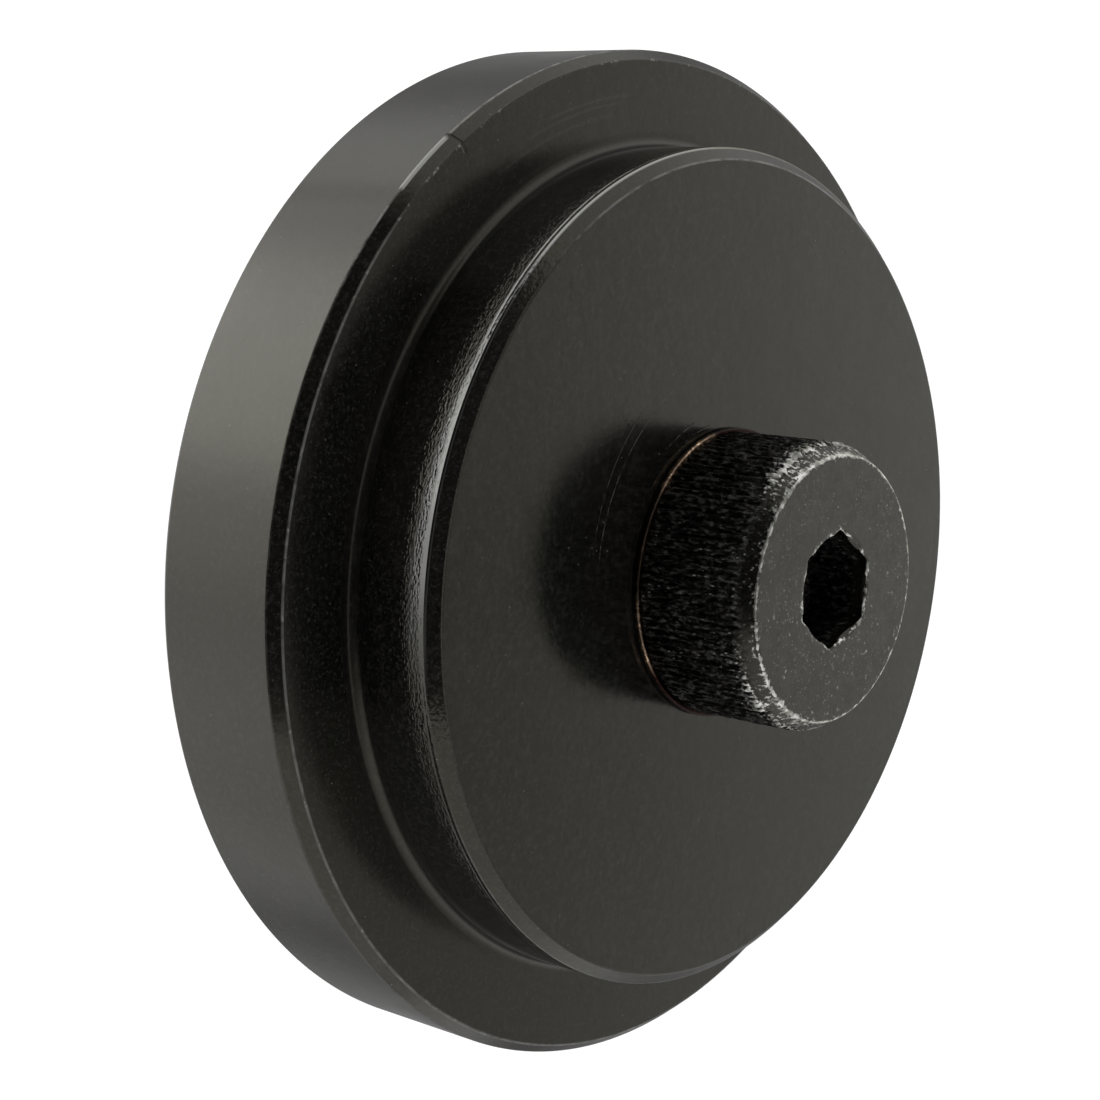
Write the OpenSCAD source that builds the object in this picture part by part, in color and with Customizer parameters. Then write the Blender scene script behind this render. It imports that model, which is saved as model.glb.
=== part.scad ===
// Flat-faced idler pulley for a V-belt drive, running on a socket shoulder screw.
// The pulley is a turned steel drum with a stepped front hub. Two sealed ball
// bearings inside it ride on the screw's ground shoulder. Everything is concentric
// with +Y. The origin is where the shoulder's end seats on the machine bracket,
// the screw head is towards -Y and the thread points to +Y.

/* [Pulley body] */
// Diameter of the drum that the belt's back runs on
drum_d = 80; // [78:0.5:100]
// Width of the drum from its step to its rear face
drum_w = 12.25; // [11:0.25:12.5]
// Radial size of the drum's edge chamfers
drum_chamfer_r = 0.75; // [0.3:0.05:1.2]
// Axial size of the drum's edge chamfers
drum_chamfer_w = 0.95; // [0.3:0.05:1.2]
// Diameter of the stepped front hub
hub_d = 65.3; // [60:0.1:70]
// Height of the front hub above the drum's step
hub_h = 7.75; // [7:0.25:9]
// Radial size of the front hub's edge chamfer
hub_chamfer_r = 0.9; // [0.3:0.1:1.5]
// Axial size of the front hub's edge chamfer
hub_chamfer_w = 0.9; // [0.3:0.1:2]
// Fillet radius where the hub meets the step
root_fillet_r = 0.6; // [0.3:0.1:1]
// Diameter of the bearing boss on the rear side
boss_d = 49; // [46:1:52]
// How far the bearing boss stands behind the drum
boss_h = 2; // [1.5:0.25:3]
// Outside diameter of the ring-shaped recess around the boss
recess_d = 63.5; // [58:0.5:66]
// Depth of that recess below the drum's rear face
recess_depth = 4; // [1:0.5:6]
// Thickness of the front wall around the screw
front_wall = 2.4; // [2:0.1:2.4]
// Depth of the relief that keeps the wall off the inner ring
wall_relief = 0.8; // [0.4:0.1:0.8]

/* [Shoulder screw] */
// Diameter of the knurled head
head_d = 22.1; // [20:0.1:23]
// Height of the head
head_h = 9.95; // [9:0.05:11]
// Radial size of the head's edge chamfer
head_chamfer_r = 0.92; // [0.4:0.02:1.4]
// Axial size of the head's edge chamfer
head_chamfer_w = 1.6; // [0.5:0.1:2]
// Width across flats of the hexagon socket
socket_af = 7.94; // [6:0.02:10]
// Depth of the hexagon socket
socket_depth = 6; // [4.5:0.5:7]
// How far the hexagon is turned about the axis
socket_turn = -7.6; // [-30:0.1:30]
// Diameter of the ground shoulder
shoulder_d = 15.875; // [15.875:0.005:15.88]
// Length of the shoulder, head to bracket
shoulder_l = 25.4; // [25.4:0.1:26]
// Major diameter of the thread
thread_d = 12.7; // [10:0.1:14]
// Length of the thread
thread_l = 19.05; // [12:0.05:30]
// Chamfer at the thread's end
thread_chamfer = 1.2; // [0.5:0.1:2]

/* [Washer and spacers] */
// Diameter of the bronze washer under the head
washer_d = 22.6; // [22.4:0.1:26]
// Thickness of the bronze washer
washer_t = 0.5; // [0.4:0.05:1]
// Running gap between the washer and the pulley's face
face_gap = 0.1; // [0.05:0.01:0.2]
// Diameter of the front spacer, in the wall's hole
front_spacer_d = 18.9; // [18:0.1:19]
// Radial gap between the front spacer and the wall
wall_gap = 0.35; // [0.3:0.05:0.6]
// Width of the two rings between the bearings
mid_spacer_w = 1.2; // [0.8:0.1:1.4]
// Diameter of the collar between the rear bearing and the bracket
collar_d = 20.5; // [19:0.1:21.5]

/* [Bearings] */
// Outside diameter of a bearing
bearing_d = 34.925; // [34:0.005:36]
// Width of a bearing
bearing_w = 7.142; // [7:0.001:7.2]
// Diameter of a ball
ball_d = 3.969; // [3.9:0.001:4]
// Number of balls in a bearing
ball_n = 11; // [8:1:11]
// Clearance between a ball and its races
race_gap = 0.1; // [0.05:0.01:0.12]
// Thickness of a seal
seal_t = 0.7; // [0.4:0.05:0.75]

/* [Retaining ring] */
// Thickness of the retaining ring
clip_t = 1.5; // [1.2:0.1:1.6]
// Diameter of the ring's groove in the boss
clip_groove_d = 37; // [36.5:0.1:38]
// Radial width of the ring
clip_width = 2.5; // [2:0.1:3]
// Half the angle between the ring's two eyes
clip_half_gap = 15; // [12:1:20]

/* [Hidden] */
$fn = 180;
over = 0.5;                                  // overshoot of cutting tools
head_y = -shoulder_l;                        // underside of the head
washer_y = head_y + washer_t;                // rear face of the bronze washer
face_y = washer_y + face_gap;                // front face of the pulley
step_y = face_y + hub_h;                     // the drum's step
rear_y = step_y + drum_w;                    // rear face of the drum
boss_y = rear_y + boss_h;                    // rear face of the boss
seat1_y = face_y + front_wall + wall_relief; // front of the front bearing
mid_y = seat1_y + bearing_w;                 // front of the middle spacers
seat2_y = mid_y + mid_spacer_w;              // front of the rear bearing
clip_y = seat2_y + bearing_w;                // front of the retaining ring
groove_y = clip_y + clip_t + 0.1;            // rear wall of the ring's groove
edge = 0.5;                                  // small chamfer on plain edges

bore_r = bearing_d / 2;
shaft_r = shoulder_d / 2;
wall_hole_r = front_spacer_d / 2 + wall_gap;
pitch_r = (shaft_r + bore_r) / 2;            // radius of the circle through the balls
race_r = ball_d / 2 + race_gap;              // radius of the race's groove
land = 1.4;                                  // from the ball circle to a ring's shoulder
inner_land_r = pitch_r - land;
outer_land_r = pitch_r + land;
cage_half_w = 1;                             // half the cage's radial width
cage_front = 0.9;                            // cage in front of the ball centres
cage_back = 2.5;                             // cage behind the ball centres
pocket_gap = 0.08;                           // clearance between a ball and its pocket
seal_y = bearing_w / 2 - seal_t - 0.1;       // seal's inner face, from the bearing's centre
seal_lip_r = inner_land_r + 0.15;
seal_seat_r = outer_land_r + 0.6;

// Points of a quarter arc or any other arc about (cx, cy), from angle a0 to a1
function arc(cx, cy, r, a0, a1, steps) =
    [for (i = [0:steps]) let (a = a0 + (a1 - a0) * i / steps) [cx + r * cos(a), cy + r * sin(a)]];

// Stands children, built around Z, along the pulley's axis
module on_axis(y = 0) rotate([-90, 0, 0]) translate([0, 0, y]) children();

// Revolves an outline of [radius, position along the axis] points
module turned(outline, y = 0) on_axis(y) rotate_extrude() polygon(outline);

module plain_ring(r_in, r_out, y0, y1, c = 0.2) {
    turned([
        [r_in, y0], [r_out - c, y0], [r_out, y0 + c],
        [r_out, y1 - c], [r_out - c, y1], [r_in, y1]
    ]);
}

module pulley_body() {
    drum_r = drum_d / 2;
    hub_r = hub_d / 2;
    boss_r = boss_d / 2;
    recess_r = recess_d / 2;
    groove_r = clip_groove_d / 2;
    relief_r = outer_land_r - 0.3;
    color([0.09, 0.09, 0.085]) turned(concat(
        [
            [wall_hole_r, face_y],
            [hub_r - hub_chamfer_r, face_y],
            [hub_r, face_y + hub_chamfer_w]
        ],
        arc(hub_r + root_fillet_r, step_y - root_fillet_r, root_fillet_r, 180, 90, 6),
        [
            [drum_r - drum_chamfer_r, step_y],
            [drum_r, step_y + drum_chamfer_w],
            [drum_r, rear_y - drum_chamfer_w],
            [drum_r - drum_chamfer_r, rear_y],
            [recess_r, rear_y],
            [recess_r, rear_y - recess_depth],
            [boss_r, rear_y - recess_depth],
            [boss_r, boss_y - edge],
            [boss_r - edge, boss_y],
            [bore_r + edge, boss_y],
            [bore_r, boss_y - edge],
            [bore_r, groove_y],
            [groove_r, groove_y],
            [groove_r, clip_y],
            [bore_r, clip_y],
            [bore_r, seat1_y],
            [relief_r, seat1_y],
            [relief_r, seat1_y - wall_relief],
            [wall_hole_r, seat1_y - wall_relief]
        ]
    ));
}

module shoulder_screw() {
    head_r = head_d / 2;
    thread_r = thread_d / 2;
    socket_r = socket_af / sqrt(3);
    top_y = head_y - head_h;
    color([0.16, 0.16, 0.16]) difference() {
        turned([
            [0, top_y],
            [head_r - head_chamfer_r, top_y],
            [head_r, top_y + head_chamfer_w],
            [head_r, head_y],
            [shaft_r, head_y],
            [shaft_r, -edge],
            [shaft_r - edge, 0],
            [thread_r, 0],
            [thread_r, thread_l - thread_chamfer],
            [thread_r - thread_chamfer, thread_l],
            [0, thread_l]
        ]);
        rotate([0, -socket_turn, 0]) on_axis(top_y - over)
            rotate([0, 0, 30]) cylinder(h = socket_depth + over, r = socket_r, $fn = 6);
    }
}

module bronze_washer() {
    color([0.62, 0.36, 0.2]) plain_ring(shaft_r, washer_d / 2, head_y, washer_y, 0.1);
}

module front_spacer() {
    color("silver") plain_ring(shaft_r, front_spacer_d / 2, washer_y, seat1_y);
}

module inner_spacer() {
    color("silver") plain_ring(shaft_r, inner_land_r - 0.5, mid_y, seat2_y);
}

module outer_spacer() {
    color("silver") plain_ring(outer_land_r + 0.5, bore_r, mid_y, seat2_y);
}

module rear_collar() {
    color("silver") plain_ring(shaft_r, collar_d / 2, clip_y, 0, 0.4);
}

// Inner ring of a bearing whose front face is at y
module inner_ring(y) {
    h = bearing_w / 2;
    a = acos(land / race_r);
    color("lightgray") turned(concat(
        [[shaft_r, -h], [inner_land_r - 0.2, -h], [inner_land_r, -h + 0.2]],
        arc(pitch_r, 0, race_r, 180 + a, 180 - a, 16),
        [[inner_land_r, h - 0.2], [inner_land_r - 0.2, h], [shaft_r, h]]
    ), y + h);
}

// Outer ring of a bearing, stepped at both mouths for the seals
module outer_ring(y) {
    h = bearing_w / 2;
    a = acos(land / race_r);
    color("lightgray") turned(concat(
        [[bore_r, -h], [seal_seat_r, -h], [seal_seat_r, -seal_y], [outer_land_r, -seal_y]],
        arc(pitch_r, 0, race_r, -a, a, 16),
        [[outer_land_r, seal_y], [seal_seat_r, seal_y], [seal_seat_r, h], [bore_r, h]]
    ), y + h);
}

// Seal of a bearing at y, on its front side (-1) or its rear side (1)
module seal(y, side) {
    centre = y + bearing_w / 2 + side * (seal_y + seal_t / 2);
    color([0.12, 0.12, 0.12])
        plain_ring(seal_lip_r, seal_seat_r, centre - seal_t / 2, centre + seal_t / 2, 0.1);
}

// Places children, built at the origin along +X, at each ball of the bearing at y
module at_balls(y) {
    for (i = [0:ball_n - 1]) rotate([0, 360 * i / ball_n, 0]) translate([0, y + bearing_w / 2, 0]) children();
}

module balls(y) color("white") at_balls(y) translate([pitch_r, 0, 0]) sphere(r = ball_d / 2, $fn = 64);

// Snap-in cage: a ring behind the balls with a pocket for each one, open to the front
module cage(y) {
    centre = y + bearing_w / 2;
    r_in = pitch_r - cage_half_w;
    r_out = pitch_r + cage_half_w;
    color([0.85, 0.8, 0.65]) difference() {
        plain_ring(r_in, r_out, centre - cage_front, centre + cage_back);
        at_balls(y) rotate([0, 90, 0]) translate([0, 0, r_in - 1])
            cylinder(h = r_out - r_in + 2, r = ball_d / 2 + pocket_gap);
    }
}

// Internal retaining ring with two eyes for the pliers
module retaining_ring() {
    r_out = clip_groove_d / 2 - 0.1;
    r_in = r_out - clip_width;
    eye_r = 2.2;
    eye_pitch_r = r_in - 1.2;
    gap_reach = r_out + 5;
    gap_angle = clip_half_gap - 3;
    color([0.2, 0.2, 0.2]) on_axis(clip_y) rotate(180) linear_extrude(clip_t) difference() {
        union() {
            difference() {
                circle(r = r_out);
                circle(r = r_in);
                polygon([
                    [0, 0],
                    gap_reach * [sin(gap_angle), cos(gap_angle)],
                    gap_reach * [-sin(gap_angle), cos(gap_angle)]
                ]);
            }
            for (s = [-1, 1]) rotate(s * clip_half_gap) translate([0, eye_pitch_r]) circle(r = eye_r);
        }
        for (s = [-1, 1]) rotate(s * clip_half_gap) translate([0, eye_pitch_r]) circle(r = 1);
    }
}

shoulder_screw();
bronze_washer();
front_spacer();
inner_spacer();
rear_collar();
inner_ring(seat1_y);  // front_inner_ring
inner_ring(seat2_y);  // rear_inner_ring
pulley_body();
outer_spacer();
retaining_ring();
outer_ring(seat1_y);  // front_outer_ring
outer_ring(seat2_y);  // rear_outer_ring
seal(seat1_y, -1);  // front_bearing_front_seal
seal(seat1_y, 1);  // front_bearing_rear_seal
seal(seat2_y, -1);  // rear_bearing_front_seal
seal(seat2_y, 1);  // rear_bearing_rear_seal
balls(seat1_y);  // front_balls
cage(seat1_y);  // front_cage
balls(seat2_y);  // rear_balls
cage(seat2_y);  // rear_cage
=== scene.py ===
import math

import bmesh
import bpy
import numpy as np
from mathutils import Matrix, Vector, noise

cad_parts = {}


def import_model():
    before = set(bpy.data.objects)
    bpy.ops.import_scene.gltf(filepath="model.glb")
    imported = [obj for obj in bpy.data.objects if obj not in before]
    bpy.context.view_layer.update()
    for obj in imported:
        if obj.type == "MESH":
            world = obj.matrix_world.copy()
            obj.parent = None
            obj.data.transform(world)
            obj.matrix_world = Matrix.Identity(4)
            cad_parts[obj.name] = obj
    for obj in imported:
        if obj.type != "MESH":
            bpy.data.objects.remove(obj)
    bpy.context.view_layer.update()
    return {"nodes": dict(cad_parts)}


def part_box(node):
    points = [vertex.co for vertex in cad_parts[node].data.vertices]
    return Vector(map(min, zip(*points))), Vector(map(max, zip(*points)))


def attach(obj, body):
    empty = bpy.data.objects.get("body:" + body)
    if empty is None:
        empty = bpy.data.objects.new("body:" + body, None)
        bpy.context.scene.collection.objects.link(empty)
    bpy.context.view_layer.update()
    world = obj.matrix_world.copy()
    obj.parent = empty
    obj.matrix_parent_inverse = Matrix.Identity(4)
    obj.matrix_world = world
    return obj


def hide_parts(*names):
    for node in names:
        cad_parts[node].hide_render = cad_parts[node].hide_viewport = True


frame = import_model()

MM = 0.001
TAU = 2 * math.pi

# ------------------------------------------------------------------ places


def node_range(node):
    """(largest radius, front, rear) of a node that is round about Y, in millimetres."""
    low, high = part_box(node)
    return max(high.x, high.z) / MM, low.y / MM, high.y / MM


DRUM_R, FACE_Y, BOSS_Y = node_range("pulley_body")
SCREW_R, TOP_Y, THREAD_END = node_range("shoulder_screw")
WASHER_R, HEAD_Y, WASHER_Y = node_range("bronze_washer")
SPACER_R, _, SEAT_Y = node_range("front_spacer")
COLLAR_R, COLLAR_Y, _ = node_range("rear_collar")
BORE_R, _, _ = node_range("front_outer_ring")
_, CLIP_Y, CLIP_END = node_range("retaining_ring")

# sizes that no node's box gives, in millimetres
SHAFT_R, THREAD_R = 7.9375, 6.35
HUB_R, HUB_H, HUB_EDGE = 32.65, 7.75, 0.9
STEP_Y = FACE_Y + HUB_H
HUB_EDGE_Y = FACE_Y + HUB_EDGE
REAR_Y = STEP_Y + 12.25
EDGE_R, EDGE_Y = 0.75, 0.95                  # the drum's edge chamfers, across the radius and along Y
BOSS_R, RECESS_R, RECESS = 24.5, 31.75, 4.0
BOSS_EDGE = 0.5
HOLE_R = SPACER_R + 0.35
GROOVE_R = 18.5
RELIEF_R, RELIEF = 13.8, 0.8
NICK = 122.6                                 # where the drum's front chamfer is nicked, in degrees

# ------------------------------------------------------------------ meshes


def rounded(corners, steps):
    """Corners (r, y, radius) of a closed outline, counter-clockwise, as points (r, y, normal r, normal y)."""
    out = []
    n = len(corners)
    for i in range(n):
        p = Vector(corners[i][:2])
        rad = corners[i][2]
        a = Vector(corners[i - 1][:2])
        b = Vector(corners[(i + 1) % n][:2])
        d1, d2 = (p - a).normalized(), (b - p).normalized()
        n1 = Vector((d1.y, -d1.x))
        turn = math.atan2(d1.x * d2.y - d1.y * d2.x, d1.dot(d2))
        t = abs(rad * math.tan(turn / 2))
        limit = 0.48 * min((p - a).length, (b - p).length)
        if t > limit:
            rad *= limit / t
            t = limit
        side = 1 if turn > 0 else -1
        centre = p - d1 * t - n1 * rad * side
        for k in range(steps + 1):
            c, s = math.cos(turn * k / steps), math.sin(turn * k / steps)
            nn = Vector((n1.x * c - n1.y * s, n1.x * s + n1.y * c))
            q = centre + nn * rad * side
            out.append((q.x, q.y, nn.x, nn.y))
    return out


def new_object(name, verts, faces, material):
    mesh = bpy.data.meshes.new(name)
    mesh.from_pydata([tuple(v) for v in verts], [], faces)
    mesh.materials.append(material)
    obj = bpy.data.objects.new(name, mesh)
    bpy.context.scene.collection.objects.link(obj)
    mesh.polygons.foreach_set("use_smooth", [True] * len(mesh.polygons))
    return obj


def revolve(name, corners, material, segments, steps=5):
    """A closed outline turned about Y, with exact normals, so that flats stay flat beside small radii."""
    points = rounded(corners, steps)
    m = len(points)
    verts, normals, faces = [], [], []
    for r, y, nr, ny in points:
        for j in range(segments):
            c, s = math.cos(TAU * j / segments), math.sin(TAU * j / segments)
            verts.append((r * c * MM, y * MM, r * s * MM))
            normals.append((nr * c, ny, nr * s))
    for i in range(m):
        k = (i + 1) % m
        if (points[i][0] - points[k][0]) ** 2 + (points[i][1] - points[k][1]) ** 2 < 1e-12:
            continue
        for j in range(segments):
            l = (j + 1) % segments
            faces.append((i * segments + j, k * segments + j, k * segments + l, i * segments + l))
    obj = new_object(name, verts, faces, material)
    obj.data.normals_split_custom_set_from_vertices(normals)
    return obj


def loft(name, rings, material, count):
    """Rings of (radii, position, wear) about Y, as numbers or arrays over the angle; the first is a pole."""
    ang = np.arange(count) * TAU / count
    verts, wear = [(0.0, rings[0][1] * MM, 0.0)], [0.0]
    for radii, ys, *rest in rings[1:]:
        worn = rest[0] if rest else 0.0
        r, y, w = (np.broadcast_to(np.asarray(v, float), (count,)) for v in (radii, ys, worn))
        verts += list(zip(r * np.cos(ang) * MM, y * MM, r * np.sin(ang) * MM))
        wear += list(w)
    faces = [(0, 1 + j, 1 + (j + 1) % count) for j in range(count)]
    for i in range(len(rings) - 2):
        a, b = 1 + i * count, 1 + (i + 1) * count
        for j in range(count):
            l = (j + 1) % count
            faces.append((a + j, b + j, b + l, a + l))
    obj = new_object(name, verts, faces, material)
    obj.data.attributes.new("wear", "FLOAT", "POINT").data.foreach_set("value", np.array(wear, np.float32))
    return obj


def place(obj, body, slot, *nodes):
    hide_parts(*nodes)
    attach(obj, body)


# ------------------------------------------------------------------ node helpers


class Nodes:
    """A node tree, with short calls for the nodes used here."""

    def __init__(self, tree):
        self.tree = tree

    def put(self, socket, value):
        if isinstance(value, bpy.types.NodeSocket):
            self.tree.links.new(value, socket)
        else:
            socket.default_value = value

    def split(self, vector):
        n = self.tree.nodes.new("ShaderNodeSeparateXYZ")
        self.tree.links.new(vector, n.inputs[0])
        return n.outputs

    def math(self, op, *values):
        n = self.tree.nodes.new("ShaderNodeMath")
        n.operation = op
        for i, v in enumerate(values):
            self.put(n.inputs[i], v)
        return n.outputs[0]

    def fold(self, op, values):
        total = values[0]
        for v in values[1:]:
            total = self.math(op, total, v)
        return total

    def add(self, *values):
        return self.fold("ADD", values)

    def sub(self, *values):
        return self.fold("SUBTRACT", values)

    def mul(self, *values):
        return self.fold("MULTIPLY", values)

    def most(self, *values):
        return self.fold("MAXIMUM", values)

    def length(self, a, b):
        return self.math("SQRT", self.add(self.mul(a, a), self.mul(b, b)))

    def toward(self, a, b, degrees):
        """How far (a, b) reaches in a direction, in degrees from a to b."""
        turn = math.radians(degrees)
        return self.add(self.mul(a, math.cos(turn)), self.mul(b, math.sin(turn)))

    def ramp(self, value, lo, hi, out_lo=0.0, out_hi=1.0):
        n = self.tree.nodes.new("ShaderNodeMapRange")
        n.interpolation_type = "SMOOTHSTEP"
        for key, v in (("Value", value), ("From Min", lo), ("From Max", hi),
                       ("To Min", out_lo), ("To Max", out_hi)):
            self.put(n.inputs[key], v)
        return n.outputs["Result"]

    def band(self, value, centre, half, soft):
        """1 within half of centre, fading to 0 over soft."""
        off = self.math("ABSOLUTE", self.sub(value, centre))
        return self.ramp(off, half, half + soft, 1.0, 0.0)


class Shader(Nodes):
    """One material, with x, y and z in metres."""

    SOCKETS = {"color": "Base Color", "rough": "Roughness", "metal": "Metallic", "normal": "Normal",
               "ior": "IOR", "spec": "Specular IOR Level", "sss": "Subsurface Weight", "tint": "Specular Tint",
               "glow": "Emission Strength", "glow_color": "Emission Color"}

    def __init__(self, name):
        self.material = bpy.data.materials.new(name)
        self.material.use_nodes = True
        super().__init__(self.material.node_tree)
        self.coord = self.tree.nodes.new("ShaderNodeTexCoord").outputs["Object"]
        self.x, self.y, self.z = self.split(self.coord)

    def vector(self, x, y, z):
        n = self.tree.nodes.new("ShaderNodeCombineXYZ")
        for i, v in enumerate((x, y, z)):
            self.put(n.inputs[i], v)
        return n.outputs[0]

    def noise(self, scale, detail, rough, vector=None, distortion=0.0):
        n = self.tree.nodes.new("ShaderNodeTexNoise")
        self.put(n.inputs["Vector"], vector or self.coord)
        for key, v in (("Scale", scale), ("Detail", detail), ("Roughness", rough), ("Distortion", distortion)):
            n.inputs[key].default_value = v
        return n.outputs["Fac"]

    def cells(self, scale, vector=None):
        n = self.tree.nodes.new("ShaderNodeTexVoronoi")
        self.put(n.inputs["Vector"], vector or self.coord)
        n.inputs["Scale"].default_value = scale
        return n.outputs["Distance"]

    def mix(self, fac, a, b):
        n = self.tree.nodes.new("ShaderNodeMix")
        n.data_type = "RGBA"
        self.put(n.inputs[0], fac)
        for socket, v in ((n.inputs[6], a), (n.inputs[7], b)):
            self.put(socket, (*v, 1.0) if isinstance(v, tuple) else v)
        return n.outputs[2]

    def bump(self, height, distance):
        n = self.tree.nodes.new("ShaderNodeBump")
        n.inputs["Distance"].default_value = distance
        self.put(n.inputs["Height"], height)
        return n.outputs["Normal"]

    def set(self, **inputs):
        sockets = self.tree.nodes["Principled BSDF"].inputs
        for key, v in inputs.items():
            self.put(sockets[self.SOCKETS[key]], (*v, 1.0) if isinstance(v, tuple) else v)
        return self.material


# ------------------------------------------------------------------ materials

# scratches as (centre x, centre z, radius, direction, half length in degrees, width)
FACE_SCRATCHES = ((0.6, 0.4, 15.9, 143, 34, 0.10), (0.5, 0.9, 16.45, 146, 30, 0.06),
                  (0, 0, 12.65, 115, 11, 0.09), (0.3, 0, 11.9, 108, 9, 0.08),
                  (1.0, 0, 12.9, 51, 6, 0.08), (0, 2.0, 30.9, -8, 5, 0.12))
STEP_SCRATCHES = ((0, 0, 35.3, 108, 13, 0.22), (0, 0, 36.1, 104, 11, 0.16), (0, -0.8, 37.4, 101, 9, 0.18))


def scratches(s, rows):
    """Thin arcs on a face square to Y."""
    arcs = []
    for cx, cz, r, direction, half, width in rows:
        dx, dz = s.sub(s.x, cx * MM), s.sub(s.z, cz * MM)
        d = s.length(dx, dz)
        line = s.band(d, r * MM, width * 0.3 * MM, width * 0.7 * MM)
        cosine = s.math("DIVIDE", s.toward(dx, dz, direction), d)
        end, fade = math.cos(math.radians(half)), math.cos(math.radians(half * 0.6))
        arcs.append(s.mul(line, s.ramp(cosine, end, fade)))
    return s.most(*arcs)


def rubbed_and_highlit_edges(s, r, on_face, on_step, along, near):
    """Rubbed coating and painted highlight lines on the pulley's edges: the drum's chamfer and its inner edge,
    and the hub's chamfer; the painted highlights are strongest towards the top.
    """
    ragged, broken = s.noise(700, 4, 0.65), s.noise(1500, 3, 0.65)
    corner_y = (STEP_Y + EDGE_Y - 0.02) * MM
    # drum: rubbed coating along the chamfer's outer edge, with a painted highlight that grows towards the top
    drum = s.mul(s.band(r, DRUM_R * MM, 0.08 * MM, 0.08 * MM),
                 s.band(s.y, corner_y, 0.05 * MM, 0.06 * MM),
                 s.ramp(ragged, 0.38, 0.58, 0.15, 0.55), s.ramp(s.z, 20 * MM, 29 * MM, 0.12, 1.0))
    bruise = s.mul(s.ramp(along, 0.1 * MM, 0.5 * MM), s.ramp(along, 6.4 * MM, 5.8 * MM), near,
                   s.band(s.y, corner_y, 0.14 * MM, 0.06 * MM),
                   s.band(r, DRUM_R * MM, 0.14 * MM, 0.08 * MM), 0.95)
    inner = s.mul(s.band(r, (DRUM_R - EDGE_R - 0.03) * MM, 0.05 * MM, 0.08 * MM), on_step,
                  s.most(s.ramp(broken, 0.56, 0.66, 0.03, 0.5),
                         s.mul(s.ramp(s.z, 30 * MM, 25 * MM), s.ramp(ragged, 0.3, 0.6, 0.10, 0.30))))
    # hub: painted highlight lines along both edges of its chamfer, mostly near the top and faintly at the
    # bottom
    hub_out = s.mul(s.band(r, HUB_R * MM, 0.06 * MM, 0.05 * MM),
                    s.band(s.y, HUB_EDGE_Y * MM, 0.04 * MM, 0.05 * MM))
    hub_in = s.mul(s.band(r, (HUB_R - HUB_EDGE) * MM, 0.05 * MM, 0.06 * MM), on_face)
    hub = s.most(s.mul(s.most(hub_out, hub_in), s.ramp(s.z, 23 * MM, 30 * MM, 0.02, 0.50)),
                 s.mul(hub_out, s.ramp(s.z, -10 * MM, -18 * MM, 0.0, 0.16)))
    return s.most(drum, bruise, inner, s.mul(hub, s.ramp(ragged, 0.35, 0.6, 0.35, 1.0)))


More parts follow.
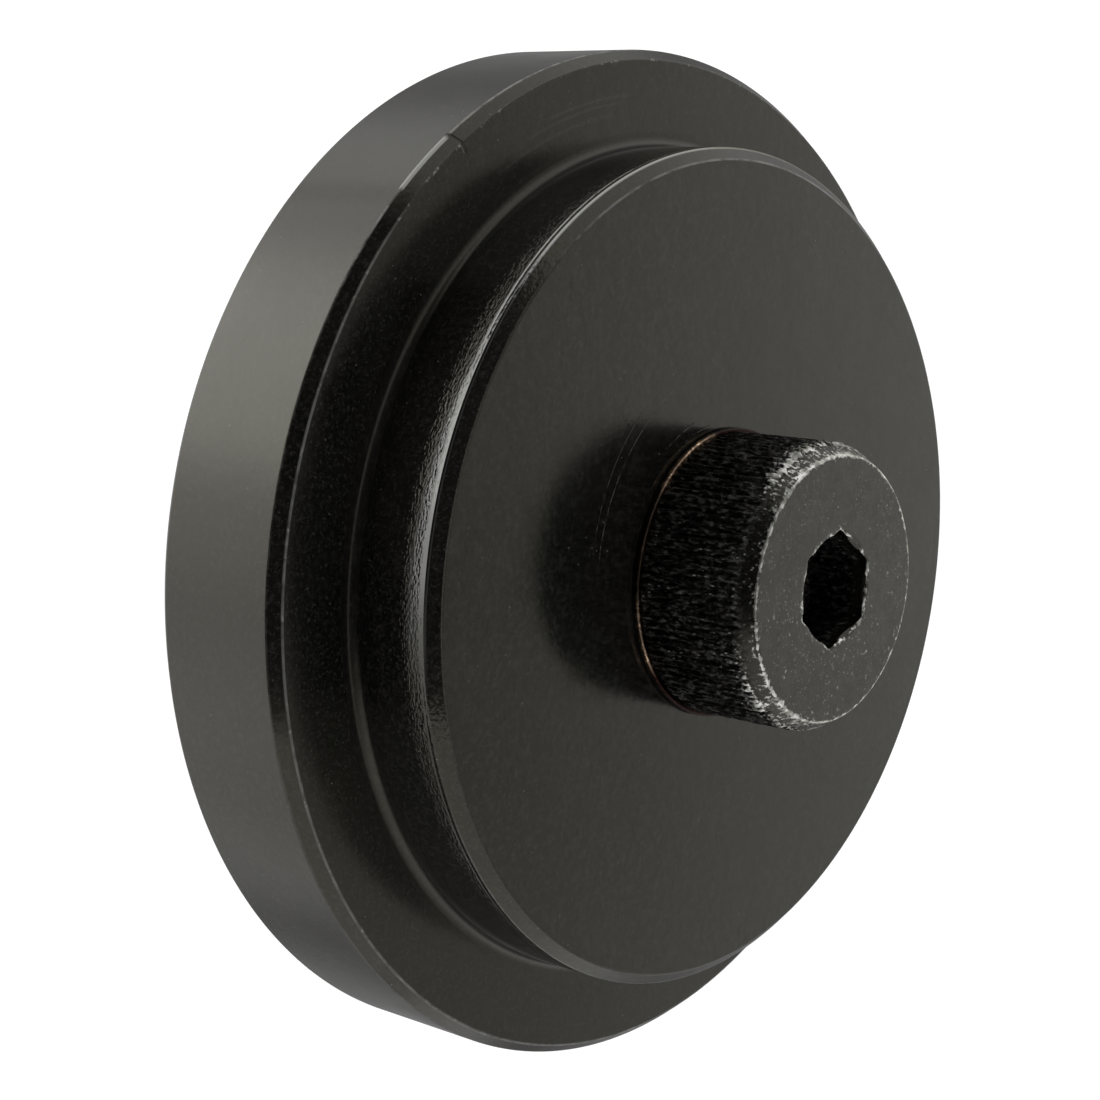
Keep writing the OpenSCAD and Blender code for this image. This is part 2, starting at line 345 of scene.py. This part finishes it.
def pulley_black():
    s = Shader("pulley_black_oxide")
    r = s.length(s.x, s.z)
    smudge, cloud = s.noise(55, 4, 0.55, distortion=0.6), s.noise(210, 3, 0.6)
    peel, waves, grain = s.noise(3400, 2, 0.5), s.noise(900, 1.5, 0.5), s.noise(5200, 2, 0.7)
    rings = s.noise(1.0, 2, 0.6, vector=s.vector(s.mul(r, 5200.0), 0.0, 0.0))
    # the hub's side is orange-peeled in short dashes round it
    dashes = s.noise(2700, 1.5, 0.5, vector=s.vector(s.x, s.mul(s.y, 2.0), s.z))

    on_face = s.ramp(s.y, (FACE_Y + 0.02) * MM, (FACE_Y + 0.2) * MM, 1.0, 0.0)
    on_step = s.band(s.y, STEP_Y * MM, 0.05 * MM, 0.1 * MM)
    on_hub = s.mul(s.band(r, HUB_R * MM, 0.06 * MM, 0.12 * MM),
                   s.ramp(s.y, (STEP_Y - 0.3) * MM, (STEP_Y - 1.0) * MM))
    on_fillet = s.mul(s.ramp(s.y, (STEP_Y - 1.3) * MM, (STEP_Y - 0.8) * MM),
                      s.ramp(s.y, (STEP_Y + 0.5) * MM, (STEP_Y + 0.2) * MM),
                      s.ramp(r, (HUB_R + 1.4) * MM, (HUB_R + 0.9) * MM))
    on_bevel = s.mul(s.band(r, (HUB_R - HUB_EDGE / 2) * MM, 0.38 * MM, 0.08 * MM),
                     s.band(s.y, (FACE_Y + HUB_EDGE / 2) * MM, 0.38 * MM, 0.08 * MM))

    # from the nick in the drum's front chamfer: how far round the drum, and how far out towards it
    along, out = s.toward(s.x, s.z, NICK + 90), s.toward(s.x, s.z, NICK)
    near = s.ramp(out, (DRUM_R - 1.6) * MM, (DRUM_R - 1.2) * MM)
    nick = s.mul(s.band(along, 0.0, 0.10 * MM, 0.10 * MM), near,
                 s.band(s.y, (STEP_Y + 0.4) * MM, 0.62 * MM, 0.15 * MM))
    stain = s.mul(s.band(along, 6.6 * MM, 0.3 * MM, 1.3 * MM),
                  s.ramp(out, (DRUM_R - 2) * MM, (DRUM_R - 1) * MM),
                  s.ramp(s.y, (STEP_Y + 0.8) * MM, (STEP_Y + 1.4) * MM))

    dust = s.mul(s.ramp(s.cells(1150), 0.025, 0.060, 1.0, 0.0), s.ramp(s.noise(420, 2, 0.5), 0.50, 0.60))
    marks = s.mul(scratches(s, FACE_SCRATCHES), on_face, s.ramp(s.noise(1300, 3, 0.6), 0.36, 0.60, 0.22, 1.0))
    wiped = s.mul(scratches(s, STEP_SCRATCHES), on_step)
    # rubbed coating and painted edge highlights, left off at the nick
    edges = s.mul(rubbed_and_highlit_edges(s, r, on_face, on_step, along, near), s.sub(1.0, nick))
    # painted reflection: a bright metallic strip on the hub's side behind its front edge, only on the upper
    # side, narrowing and brightening towards the top
    reach = s.ramp(s.z, 4 * MM, 25 * MM, 1.75 * MM, 0.55 * MM)
    behind = s.math("DIVIDE", s.sub(s.y, HUB_EDGE_Y * MM), reach)
    painted_reflection_strip = s.mul(on_hub, s.ramp(behind, 1.0, 0.55), s.ramp(s.z, -5 * MM, 5 * MM), 0.95)

    tone = s.mix(s.ramp(smudge, 0.3, 0.75), (0.0034, 0.0033, 0.0033), (0.0072, 0.0068, 0.0058))
    tone = s.mix(s.ramp(s.noise(2400, 2, 0.6), 0.45, 0.72), tone, (0.015, 0.0145, 0.013))
    tone = s.mix(s.ramp(grain, 0.55, 0.78), tone, (0.030, 0.029, 0.027))
    tone = s.mix(s.mul(dust, 0.85), tone, (0.26, 0.255, 0.24))
    tone = s.mix(s.mul(marks, 0.20), tone, (0.15, 0.145, 0.13))
    tone = s.mix(s.mul(wiped, 0.10), tone, (0.15, 0.145, 0.13))
    # lighter along the edges: partly rubbed coating, partly painted highlight
    tone = s.mix(edges, tone, (0.34, 0.34, 0.33))
    # painted reflection tone, brighter towards the top
    painted_reflection_tone = s.mix(s.ramp(s.z, 17 * MM, 27 * MM), (0.125, 0.125, 0.120), (0.34, 0.34, 0.33))
    tone = s.mix(painted_reflection_strip, tone, painted_reflection_tone)

    rough = s.add(s.ramp(cloud, 0.3, 0.7, 0.14, 0.20), s.ramp(smudge, 0.4, 0.8, 0.0, 0.06))
    rough = s.mul(rough, s.ramp(on_hub, 0.0, 1.0, 1.0, 0.34))
    rough = s.add(rough, s.mul(marks, 0.12), s.mul(nick, 0.3), s.mul(on_fillet, 0.13))

    dashed = s.mul(on_hub, s.ramp(s.y, (HUB_EDGE_Y + 0.28) * MM, (HUB_EDGE_Y + 0.50) * MM, 0.05, 1.0),
                   s.ramp(s.y, (HUB_EDGE_Y + 1.3) * MM, (HUB_EDGE_Y + 3.0) * MM, 1.0, 0.22))
    height = s.add(s.mul(peel, s.ramp(on_hub, 0.0, 1.0, 0.45, 0.5)), waves, s.mul(rings, 0.10),
                   s.mul(dashes, s.most(dashed, s.mul(on_bevel, 0.5)), 5.0))
    height = s.sub(height, s.mul(marks, 0.5), s.mul(nick, 7.0))
    return s.set(color=tone, rough=rough, metal=painted_reflection_strip, normal=s.bump(height, 0.0000095),
                 spec=s.sub(0.5, s.mul(stain, 0.09)), ior=1.5, tint=(1.0, 0.97, 0.80))


def screw_black():
    s = Shader("screw_black_oxide_worn")
    attribute = s.tree.nodes.new("ShaderNodeAttribute")
    attribute.attribute_name = "wear"
    wear = attribute.outputs["Fac"]
    depth = s.sub(s.y, TOP_Y * MM)
    on_head = s.ramp(s.y, (HEAD_Y - 0.05) * MM, (HEAD_Y + 0.05) * MM, 1.0, 0.0)
    is_face = s.mul(s.ramp(depth, 0.05 * MM, 0.12 * MM, 1.0, 0.0), on_head)
    is_side = s.mul(s.ramp(depth, 0.5 * MM, 1.7 * MM), on_head)
    drawn = s.vector(s.x, s.mul(s.y, 0.38), s.z)
    grit, fibre = s.noise(3100, 4, 0.7), s.noise(3900, 3, 0.6, vector=drawn)
    patch, broad = s.noise(420, 3, 0.6), s.noise(130, 2, 0.5)
    crumbs = s.ramp(s.cells(3300, drawn), 0.10, 0.26, 1.0, 0.0)

    # edges rubbed to bare metal, in crumbs
    torn = s.add(s.mul(wear, 0.84), s.mul(s.sub(grit, 0.5), 1.7), s.mul(s.sub(fibre, 0.5), 1.3),
                 s.mul(s.sub(patch, 0.5), 0.9))
    worn = s.mul(s.ramp(torn, 0.44, 0.64), s.ramp(wear, 0.02, 0.15))
    glints = s.mul(crumbs, s.ramp(patch, 0.42, 0.60), s.ramp(grit, 0.40, 0.60, 0.12, 0.60))
    dings = s.mul(s.ramp(s.noise(2600, 3, 0.65), 0.60, 0.68), is_face, s.ramp(s.z, 5 * MM, -5 * MM, 0.35, 1.0),
                  s.ramp(s.noise(300, 2, 0.5), 0.38, 0.58), 0.55)
    worn = s.mul(s.most(worn, glints, dings), on_head)

    dull = s.mix(s.ramp(broad, 0.35, 0.7), (0.0030, 0.0030, 0.0030), (0.0075, 0.0068, 0.0050))
    crust = s.mix(s.ramp(fibre, 0.50, 0.68), (0.0016, 0.0016, 0.0018), (0.062, 0.062, 0.060))
    face = s.mix(s.ramp(s.noise(700, 4, 0.6), 0.35, 0.7), (0.016, 0.0155, 0.0140), (0.029, 0.0285, 0.0260))
    bare = s.mix(s.ramp(s.noise(1500, 2, 0.5), 0.38, 0.62), (0.30, 0.30, 0.27), (0.80, 0.795, 0.76))
    tone = s.mix(is_face, s.mix(is_side, dull, crust), face)
    tone = s.mix(worn, tone, bare)
    rough = s.add(s.ramp(grit, 0.35, 0.7, 0.24, 0.40), s.mul(worn, 0.06))
    brush = s.noise(1.0, 3, 0.6, vector=s.vector(s.mul(s.x, 2600.0), 0.0, s.mul(s.z, 240.0)))
    height = s.add(s.mul(grit, s.ramp(is_side, 0.0, 1.0, 0.08, 1.1)),
                   s.mul(fibre, s.ramp(is_side, 0.0, 1.0, 0.0, 1.2)), s.mul(brush, 0.05))
    # the crust on the knurl drinks light; the turned and ground parts do not
    gloss = s.sub(0.5, s.mul(is_side, s.ramp(fibre, 0.42, 0.62, 0.40, 0.05)))
    return s.set(color=tone, rough=rough, metal=s.mul(worn, 0.9), normal=s.bump(height, 0.00011), spec=gloss,
                 ior=1.5, tint=(1.0, 0.97, 0.82))


def bronze():
    s = Shader("bronze_washer_metal")
    grit, patch = s.noise(2600, 3, 0.65), s.noise(300, 3, 0.6)
    tone = s.mix(s.ramp(patch, 0.35, 0.65), (0.22, 0.15, 0.105), (0.095, 0.072, 0.055))
    sparkle = s.mul(s.ramp(grit, 0.50, 0.62), s.ramp(patch, 0.35, 0.6, 1.0, 0.35))
    # painted highlight in two stretches on the left; dark red past them, on the right, top and bottom, partly
    # tarnish and partly painted shade
    painted_highlight_bands = s.most(s.band(s.z, 9.5 * MM, 1.2 * MM, 1.2 * MM), s.band(s.z, -3.0 * MM, 2.0 * MM, 1.4 * MM))
    tarnish_and_shade = s.most(s.ramp(s.x, -3.2 * MM, -1.4 * MM), s.ramp(s.z, -5.2 * MM, -6.8 * MM))
    tone = s.mix(s.mul(sparkle, s.ramp(painted_highlight_bands, 0.0, 1.0, 0.22, 1.0)), tone, (0.92, 0.68, 0.46))
    tone = s.mix(tarnish_and_shade, tone, s.mix(sparkle, (0.014, 0.0045, 0.0035), (0.055, 0.022, 0.015)))
    # painted shade: the rim darkens away from the head, towards the face it is pressed against
    tone = s.mix(s.ramp(s.y, (HEAD_Y + 0.16) * MM, (HEAD_Y + 0.34) * MM, 0.0, 0.8), tone, (0.030, 0.014, 0.010))
    return s.set(color=tone, metal=1.0, rough=s.ramp(grit, 0.3, 0.7, 0.28, 0.42), normal=s.bump(grit, 0.00004))


def steel(name, tone_a, tone_b, rough_a, rough_b, stretch=4200.0):
    """Ground or turned steel: fine lines round the axis, slight stains."""
    s = Shader(name)
    turned = s.vector(s.mul(s.length(s.x, s.z), stretch), s.mul(s.y, stretch), 0.0)
    lines = s.noise(1.0, 3, 0.65, vector=turned)
    stain = s.noise(240, 3, 0.6)
    rough = s.add(s.ramp(stain, 0.3, 0.7, rough_a, rough_b), s.ramp(lines, 0.4, 0.7, 0.0, 0.08))
    height = s.add(lines, s.mul(s.noise(1900, 2, 0.5), 0.4))
    return s.set(color=s.mix(s.ramp(stain, 0.35, 0.7), tone_a, tone_b), metal=1.0, rough=rough,
                 normal=s.bump(height, 0.000006))


def spring_steel():
    s = Shader("spring_steel_phosphate")
    grain, stain = s.noise(3000, 3, 0.6), s.noise(190, 3, 0.6)
    tone = s.mix(s.ramp(stain, 0.35, 0.7), (0.022, 0.022, 0.023), (0.045, 0.043, 0.040))
    return s.set(color=tone, rough=s.ramp(grain, 0.3, 0.7, 0.36, 0.52), metal=0.35,
                 normal=s.bump(grain, 0.000012))


def rubber():
    s = Shader("seal_rubber_black")
    grain, bloom = s.noise(2600, 3, 0.6), s.noise(160, 3, 0.6)
    tone = s.mix(s.ramp(bloom, 0.4, 0.75), (0.012, 0.012, 0.0125), (0.026, 0.026, 0.026))
    return s.set(color=tone, rough=s.ramp(bloom, 0.3, 0.7, 0.48, 0.62), normal=s.bump(grain, 0.00001))


def nylon():
    s = Shader("cage_nylon_ivory")
    grain, flow = s.noise(2000, 2, 0.5), s.noise(260, 3, 0.6)
    tone = s.mix(s.ramp(flow, 0.35, 0.7), (0.62, 0.55, 0.38), (0.70, 0.64, 0.48))
    return s.set(color=tone, rough=s.ramp(grain, 0.3, 0.7, 0.40, 0.5), normal=s.bump(grain, 0.000008), sss=0.1)


PULLEY = pulley_black()
SCREW = screw_black()
BRONZE = bronze()
GROUND = steel("ground_steel_fine", (0.53, 0.52, 0.50), (0.44, 0.43, 0.41), 0.22, 0.32)
RING = steel("bearing_ring_steel", (0.60, 0.59, 0.57), (0.52, 0.51, 0.49), 0.16, 0.24)
BALL = steel("bearing_ball_steel", (0.72, 0.71, 0.70), (0.66, 0.65, 0.64), 0.05, 0.08, 300.0)
SPRING = spring_steel()
SEAL = rubber()
CAGE = nylon()

# ------------------------------------------------------------------ pulley

pulley = revolve("pulley_body_turned", [
    (HOLE_R, FACE_Y, 0.15),
    (HUB_R - HUB_EDGE, FACE_Y, 0.3),
    (HUB_R, HUB_EDGE_Y, 0.05),
    (HUB_R, STEP_Y, 0.75),
    (DRUM_R - EDGE_R, STEP_Y, 0.16),
    (DRUM_R, STEP_Y + EDGE_Y, 0.3),
    (DRUM_R, REAR_Y - EDGE_Y, 0.3),
    (DRUM_R - EDGE_R, REAR_Y, 0.16),
    (RECESS_R, REAR_Y, 0.3),
    (RECESS_R, REAR_Y - RECESS, 0.8),
    (BOSS_R, REAR_Y - RECESS, 0.8),
    (BOSS_R, BOSS_Y - BOSS_EDGE, 0.1),
    (BOSS_R - BOSS_EDGE, BOSS_Y, 0.1),
    (BORE_R + BOSS_EDGE, BOSS_Y, 0.1),
    (BORE_R, BOSS_Y - BOSS_EDGE, 0.1),
    (BORE_R, CLIP_END + 0.1, 0.06),
    (GROOVE_R, CLIP_END + 0.1, 0.1),
    (GROOVE_R, CLIP_Y, 0.1),
    (BORE_R, CLIP_Y, 0.06),
    (BORE_R, SEAT_Y, 0.2),
    (RELIEF_R, SEAT_Y, 0.1),
    (RELIEF_R, SEAT_Y - RELIEF, 0.2),
    (HOLE_R, SEAT_Y - RELIEF, 0.15),
], PULLEY, segments=512)
place(pulley, "pulley", "pulley_black", "pulley_body")

# ------------------------------------------------------------------ shoulder screw

TEETH = 108
COUNT = TEETH * 8
HEX_TURN = 90 - 7.6                          # direction of one corner of the hexagon, in degrees
HEX_AF, CONE_R = 7.94, 4.17                  # across flats, and the countersink at its mouth
HEX_DEPTH, DRILL_DEPTH = 4.9, 6.0
EDGE_IN, EDGE_DOWN = 0.92, 1.6               # the head's edge chamfer, across the face and down the side
ang = np.arange(COUNT) * TAU / COUNT
# columns start at a corner of the hexagon; the finished mesh is turned into place
hex_r = HEX_AF / 2 / np.cos(ang % math.radians(60) - math.radians(30))
hex_r = np.minimum(hex_r, HEX_AF / math.sqrt(3) - 0.07)
tooth = (0.5 - 0.5 * np.cos(ang * TEETH)) ** 1.25


def rough_field(y, scale, seed):
    """Smooth noise round the head at one height, the same on each run."""
    return np.array([noise.noise(Vector((math.cos(a) * SCREW_R * scale + seed, y * scale * 0.6,
                                         math.sin(a) * SCREW_R * scale))) for a in ang])


def head_side(y):
    """Radius round the head's side at a height: knurl crests at full radius, cut back by the edge chamfers."""
    depth = y - TOP_Y
    cut = 0.32 * np.clip(0.75 + 0.9 * rough_field(y, 0.9, 7.0), 0.2, 1.2)
    dents = 0.09 * np.clip(rough_field(y, 3.0, 31.0) + 0.4, 0, 1)
    uneven = 0.03 * np.clip(rough_field(y, 2.4, 3.0) + 0.2, 0, 1)
    cone = SCREW_R - EDGE_IN * max(0.0, 1 - depth / EDGE_DOWN) - uneven
    foot = SCREW_R - max(0.0, 0.14 - (HEAD_Y - y)) * 0.8
    return np.minimum(np.minimum(SCREW_R - cut * tooth - dents, cone), foot)


face_r = SCREW_R - EDGE_IN
mouth = np.maximum(hex_r, CONE_R)
# the outer edge is not rubbed on the side facing -X
facing = (ang + math.radians(HEX_TURN)) % TAU
exposed = 1 - 0.93 * np.exp(-((facing - 2.92) / 0.62) ** 4)
patchy = np.clip(1.0 + 0.45 * rough_field(0.0, 0.35, 5.0), 0, 1.2)
crest = np.clip(1.05 * patchy, 0, 1)
lip = np.clip(0.72 + 0.8 * rough_field(0.0, 0.45, 17.0), 0.15, 1.0)


def bell(depth, centre, width):
    return math.exp(-((depth - centre) / width) ** 2)


def chamfer_wear(depth):
    """How much of the coating is gone round the head at a depth below its top."""
    ridge = max(0.88 * bell(depth, 1.45, 0.42), 0.52 * bell(depth, 1.9, 1.0) if depth > EDGE_DOWN else 0.0)
    cone = 0.35 * exposed + 0.33 * bell(depth, 0.0, 0.5) if depth < 1.5 else 0.0
    return np.clip(np.maximum(ridge * exposed, cone) * patchy * (1 - 0.40 * tooth * (depth > 1.3)), 0, 1)


rings = [
    (0, TOP_Y + DRILL_DEPTH),
    (2.0, TOP_Y + 5.7),
    (3.3, TOP_Y + 5.0),
    (3.55, TOP_Y + HEX_DEPTH),
    (hex_r - 0.05, TOP_Y + HEX_DEPTH),
]
for d in (HEX_DEPTH - 0.05, 3.6, 2.4, 1.2, 0.5):
    rings.append((hex_r, TOP_Y + d))
rings += [
    (hex_r, TOP_Y + 0.12 + (mouth - hex_r) * 0.9, 0.05),
    (mouth - 0.01, TOP_Y + 0.06, 0.8 * lip),
    (mouth + 0.04, TOP_Y + 0.014, lip),
    (mouth + 0.09, TOP_Y, 0.8 * lip),
    (np.maximum(mouth + 0.24, 4.6), TOP_Y, 0.22 * lip),
    (np.maximum(mouth + 0.35, 4.9), TOP_Y),
    (5.4, TOP_Y),
    (7.0, TOP_Y),
    (9.0, TOP_Y),
    (face_r - 0.45, TOP_Y),
    (face_r - 0.22, TOP_Y, 0.30 * patchy),
    (face_r - 0.10, TOP_Y, 0.7 * patchy),
    (face_r - 0.03, TOP_Y + 0.015, crest),
    (face_r + 0.04, TOP_Y + 0.07, crest),
]
head_h = HEAD_Y - TOP_Y
for d in (*np.arange(0.16, 1.75, 0.10), *np.linspace(1.8, head_h - 0.25, 34), head_h - 0.14, head_h - 0.07,
          head_h - 0.005):
    rings.append((head_side(TOP_Y + d), TOP_Y + d, chamfer_wear(d)))

# the helical thread: rows follow the helix, so crests and roots run along the mesh's edges
PITCH = 25.4 / 13
ROWS, COLS = 16, 128                         # rows in a pitch, columns in a turn
ROOT_R, NECK_R, CREST_R = 5.12, 4.95, THREAD_R - 0.06
TIP_R = CREST_R - 1.2
NECK_END = 1.7

rings += [
    (SCREW_R - 0.75, HEAD_Y), (SHAFT_R + 0.4, HEAD_Y), (SHAFT_R + 0.12, HEAD_Y + 0.02), (SHAFT_R, HEAD_Y + 0.1),
    (SHAFT_R, HEAD_Y + 0.3), (SHAFT_R, -12.0), (SHAFT_R, -0.9), (SHAFT_R, -0.55), (SHAFT_R - 0.04, -0.46),
    (SHAFT_R - 0.46, -0.04), (SHAFT_R - 0.56, 0.0), (5.6, 0.0), (5.2, 0.05), (NECK_R, 0.3), (NECK_R, NECK_END),
]
head = loft("head_and_shoulder", rings, SCREW, COUNT)
head.data.transform(Matrix.Rotation(-math.radians(HEX_TURN), 4, "Y"))


def thread_point(k, j):
    """(radius, position) of the thread's surface, at row k along the helix and column j of its turn."""
    y = (k + ROWS * j / COLS) * PITCH / ROWS
    if y <= NECK_END:
        return NECK_R, NECK_END
    if y >= THREAD_END:
        return TIP_R, THREAD_END
    from_root = abs((k % ROWS) / ROWS - 0.5) * 2
    flank = min(max((from_root - 0.22) / (0.90 - 0.22), 0), 1)
    runout = NECK_R + max(0.0, y - 1.3) * 0.75
    point = TIP_R + (THREAD_END - y) * 0.95
    return min(ROOT_R + (CREST_R - ROOT_R) * flank, runout, point), y


verts, faces = [], []
thread_rows = range(-ROWS, int(THREAD_END / PITCH * ROWS) + ROWS + 1)
for k in thread_rows:
    for j in range(COLS + 1):
        r, y = thread_point(k, j)
        a = -TAU * j / COLS
        verts.append((r * math.cos(a) * MM, y * MM, r * math.sin(a) * MM))
for k in range(len(thread_rows) - 1):
    for j in range(COLS):
        a, b = k * (COLS + 1) + j, (k + 1) * (COLS + 1) + j
        faces.append((a, a + 1, b + 1, b))
tip, base = len(verts), (len(thread_rows) - 1) * (COLS + 1)
verts.append((0, THREAD_END * MM, 0))
for j in range(COLS):
    faces.append((base + j, base + j + 1, tip))
thread = new_object("thread_helix", verts, faces, SCREW)

bpy.ops.object.select_all(action="DESELECT")
bpy.context.view_layer.objects.active = head
head.select_set(True)
thread.select_set(True)
bpy.ops.object.join()
head.name = "shoulder_screw_detailed"
head.data.name = "shoulder_screw_detailed"
bm = bmesh.new()
bm.from_mesh(head.data)
bmesh.ops.remove_doubles(bm, verts=bm.verts, dist=2e-7)
bmesh.ops.dissolve_degenerate(bm, edges=bm.edges, dist=1e-8)
bm.to_mesh(head.data)
bm.free()
head.data.set_sharp_from_angle(angle=math.radians(32))
place(head, "screw_stack", "screw_black", "shoulder_screw")

# ------------------------------------------------------------------ washer and collar

washer = revolve("bronze_washer_worn_painted_light", [
    (SHAFT_R, HEAD_Y, 0.04), (WASHER_R, HEAD_Y, 0.14), (WASHER_R, WASHER_Y, 0.14), (SHAFT_R, WASHER_Y, 0.04),
], BRONZE, segments=384)
place(washer, "screw_stack", "bronze", "bronze_washer")

collar = revolve("rear_collar_turned", [
    (SHAFT_R, COLLAR_Y, 0.05), (COLLAR_R - 0.4, COLLAR_Y, 0.05), (COLLAR_R, COLLAR_Y + 0.4, 0.12),
    (COLLAR_R, -0.4, 0.12), (COLLAR_R - 0.4, 0.0, 0.08), (SHAFT_R, 0.0, 0.1),
], GROUND, segments=256)
place(collar, "screw_stack", "ground_steel", "rear_collar")

# ------------------------------------------------------------------ CAD nodes that stay

KEEP = {
    GROUND: ("front_spacer", "inner_spacer", "outer_spacer"),
    RING: ("front_inner_ring", "rear_inner_ring", "front_outer_ring", "rear_outer_ring"),
    SEAL: ("front_bearing_front_seal", "front_bearing_rear_seal", "rear_bearing_front_seal",
           "rear_bearing_rear_seal"),
    SPRING: ("retaining_ring",),
    BALL: ("front_balls", "rear_balls"),
    CAGE: ("front_cage", "rear_cage"),
}
for material, nodes in KEEP.items():
    for node in nodes:
        mesh = frame["nodes"][node].data
        mesh.materials.clear()
        mesh.materials.append(material)

# ------------------------------------------------------------------ floor, light, camera

FLOOR_Z, FLOOR_HALF = -0.090, 6.0


def floor():
    s = Shader("studio_floor_white")
    s.set(color=s.mix(s.noise(30, 3, 0.5), (0.90, 0.90, 0.90), (0.93, 0.93, 0.93)), rough=0.9, spec=0.0,
          glow_color=(1.0, 1.0, 1.0), glow=0.25)
    corners = [(x * FLOOR_HALF, y * FLOOR_HALF, FLOOR_Z) for x, y in ((-1, -1), (1, -1), (1, 1), (-1, 1))]
    obj = new_object("studio_floor", corners, [(0, 1, 2, 3)], s.material)
    obj.visible_glossy = False


floor()

# soft panels round the object: azimuth from +X to +Y and its half width, low and high elevation,
# how soft the sides are, how soft the top and bottom are (all in degrees), and how much light is added
PANELS = (
    (121, 8, 22, 34, 22, 16, 1.35),      # soft box behind on the left
    (125, 40, -20, 50, 35, 30, 0.52),    # the glow round it
    (131, 10, 2, 55, 20, 12, 0.20),
    (50, 26, -55, 30, 30, 25, -0.73),    # less light behind on the right
    (135, 20, -70, -10, 30, 20, -0.25),
    (217, 40, -24, 66, 12, 6, -1.8),     # the dark side, where the camera is
    (300, 16, -40, 30, 12, 20, -0.32),   # less light in front on the right
    (296, 19, -10, 30, 5, 10, -0.33),
    (322, 40, -60, -16, 30, 10, -0.15),  # the floor's duller reflection in front
    (270, 60, -89, -52, 30, 12, -0.30),
)
BASE_LIGHT, LEAST_LIGHT, SEEN_LIGHT = 1.0, 0.015, 1.1


def world():
    """Reflections and light come from the panels; the camera itself sees plain white."""
    bpy.context.scene.world = w = bpy.data.worlds.new("studio")
    w.use_nodes = True
    w.node_tree.nodes.clear()
    n = Nodes(w.node_tree)
    dx, dy, dz = n.split(n.tree.nodes.new("ShaderNodeTexCoord").outputs["Generated"])
    flat = n.length(dx, dy)
    level = BASE_LIGHT
    for azimuth, half, low, high, soft_side, soft_end, gain in PANELS:
        near = n.math("DIVIDE", n.toward(dx, dy, azimuth), flat)
        side = n.ramp(near, math.cos(math.radians(half + soft_side)), math.cos(math.radians(half)))
        up = n.ramp(dz, math.sin(math.radians(low - soft_end)), math.sin(math.radians(low)))
        over = n.ramp(dz, math.sin(math.radians(high)), math.sin(math.radians(min(high + soft_end, 90))))
        level = n.add(level, n.mul(side, up, n.sub(1.0, over), gain))
    level = n.most(level, LEAST_LIGHT)
    seen = n.tree.nodes.new("ShaderNodeLightPath").outputs["Is Camera Ray"]
    background = n.tree.nodes.new("ShaderNodeBackground")
    background.inputs["Color"].default_value = (1.0, 1.0, 1.0, 1.0)
    n.put(background.inputs["Strength"], n.add(n.mul(level, n.sub(1.0, seen)), n.mul(seen, SEEN_LIGHT)))
    n.put(n.tree.nodes.new("ShaderNodeOutputWorld").inputs[0], background.outputs[0])


world()

camera_data = bpy.data.cameras.new("camera")
camera_data.lens = 77.816
camera_data.sensor_width = 36.0
camera_data.clip_start = 0.01
camera_data.clip_end = 50
camera = bpy.data.objects.new("camera", camera_data)
bpy.context.scene.collection.objects.link(camera)
bpy.context.scene.camera = camera
azimuth, elevation, distance = math.radians(-49.059), math.radians(10.391), 0.18525
aim = Vector((-0.008586, FACE_Y * MM + 0.010368, 0.001692))
back = Vector((math.sin(azimuth) * math.cos(elevation), -math.cos(azimuth) * math.cos(elevation),
               math.sin(elevation)))
camera.location = aim + back * distance
camera.rotation_euler = (-back).to_track_quat("-Z", "Y").to_euler()

bpy.context.scene.view_settings.view_transform = "Standard"
